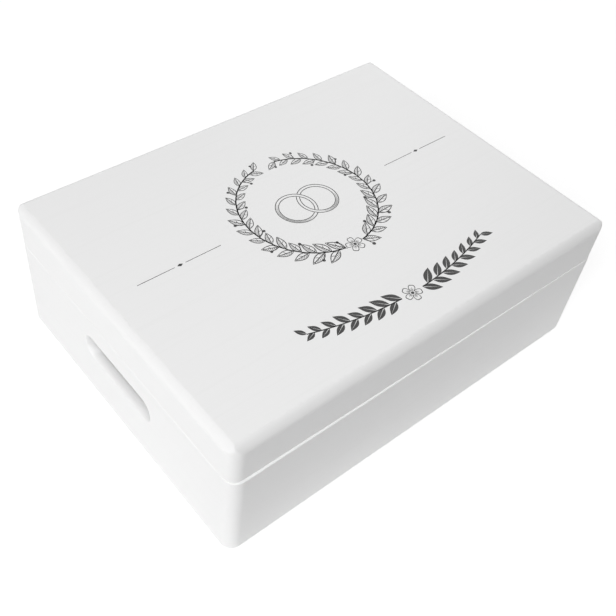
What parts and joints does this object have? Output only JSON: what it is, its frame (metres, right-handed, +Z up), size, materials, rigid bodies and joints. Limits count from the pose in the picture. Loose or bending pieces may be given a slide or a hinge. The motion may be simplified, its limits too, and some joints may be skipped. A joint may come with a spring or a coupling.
{
  "type": "wedding box",
  "caption": "Low rectangular box of white painted wood with a full-size hinged lid, rounded edges and a hand hole in each end, for papers and keepsakes.",
  "frame": {"origin": "centre of the underside of the closed box", "axes": "+X from the left hand hole to the right one, -Y towards the front, +Y towards the hinges, +Z up"},
  "size_m": [0.4, 0.3, 0.138],
  "materials": {
    "painted_wood": "brushed matt white paint over pine",
    "plated_steel": "zinc plated",
    "lid_print": "thin matt black ink line on the lid"
  },
  "bodies": {
    "base": {"base_front_wall": "painted_wood", "base_back_wall": "painted_wood", "base_left_end": "painted_wood", "base_right_end": "painted_wood", "base_bottom_panel": "painted_wood", "left_hinge_base_leaf": "plated_steel", "left_hinge_pin": "plated_steel", "left_hinge_base_screws": "plated_steel", "right_hinge_base_leaf": "plated_steel", "right_hinge_pin": "plated_steel", "right_hinge_base_screws": "plated_steel"},
    "lid": {"lid_front_rail": "painted_wood", "lid_back_rail": "painted_wood", "lid_left_rail": "painted_wood", "lid_right_rail": "painted_wood", "lid_top_panel": "painted_wood", "left_hinge_lid_leaf": "plated_steel", "left_hinge_lid_screws": "plated_steel", "right_hinge_lid_leaf": "plated_steel", "right_hinge_lid_screws": "plated_steel"}
  },
  "joints": [
    {"name": "lid_hinge", "type": "hinge", "parent": "base", "child": "lid", "pos_m": [0, 0.1468, 0.098], "axis": [-1, 0, 0], "range_deg": [0, 98]}
  ]
}
